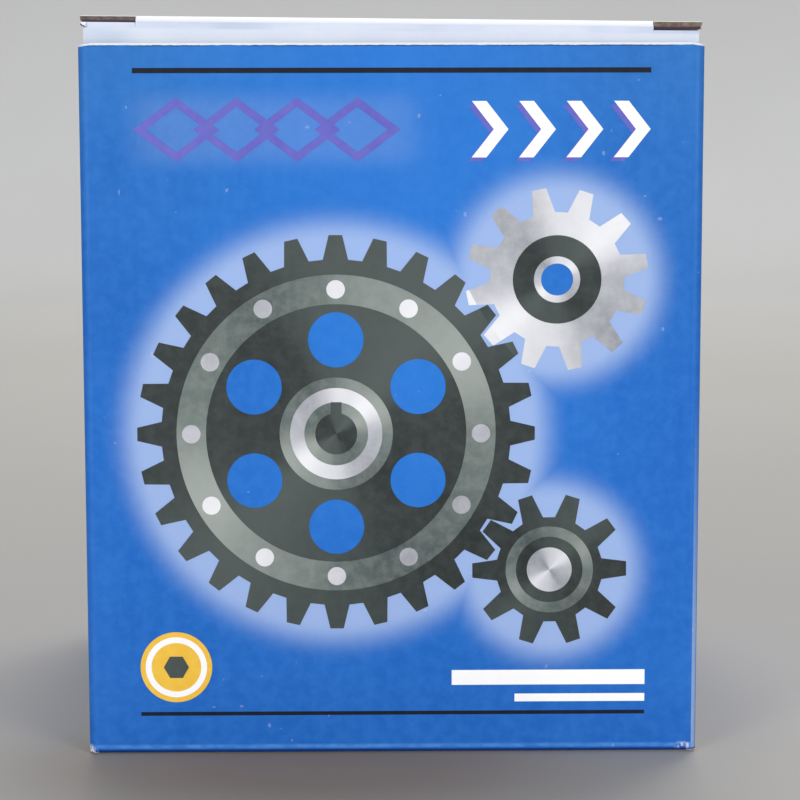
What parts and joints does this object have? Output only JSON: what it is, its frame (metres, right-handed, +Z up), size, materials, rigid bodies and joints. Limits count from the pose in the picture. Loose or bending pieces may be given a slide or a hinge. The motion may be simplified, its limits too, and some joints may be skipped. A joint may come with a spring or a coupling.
{
  "type": "printed tuck-top carton",
  "caption": "Upright corrugated carton with blue printed walls, a hinged white tuck-in lid, inner dust flaps and an interlocked base.",
  "frame": {"origin": "on the ground under the middle of the carton's base", "axes": "+Z up; the printed front panel faces -Y; +X to the right as seen from the front"},
  "size_m": [0.1452, 0.1453, 0.174],
  "materials": {
    "kraft_board": "uncoated",
    "white_board": "clay-coated satin",
    "ground_blue": "varnished print",
    "rule_navy": "varnished print",
    "ink_violet": "varnished print",
    "ink_white": "varnished print",
    "gear_dark": "varnished print",
    "gear_mid": "varnished print",
    "gear_silver": "varnished print",
    "badge_yellow": "varnished print"
  },
  "bodies": {
    "carton": {"carton_body": "kraft_board", "print_ground": "ground_blue", "print_rules": "rule_navy", "print_violet": "ink_violet", "print_white": "ink_white", "print_dark": "gear_dark", "print_mid": "gear_mid", "print_silver": "gear_silver", "print_yellow": "badge_yellow"},
    "lid": {"lid": "white_board"}
  },
  "joints": [
    {"name": "lid_hinge", "type": "hinge", "parent": "carton", "child": "lid", "pos_m": [0, 0.0725, 0.1697], "axis": [-1, 0, 0], "range_deg": [0, 175]}
  ]
}
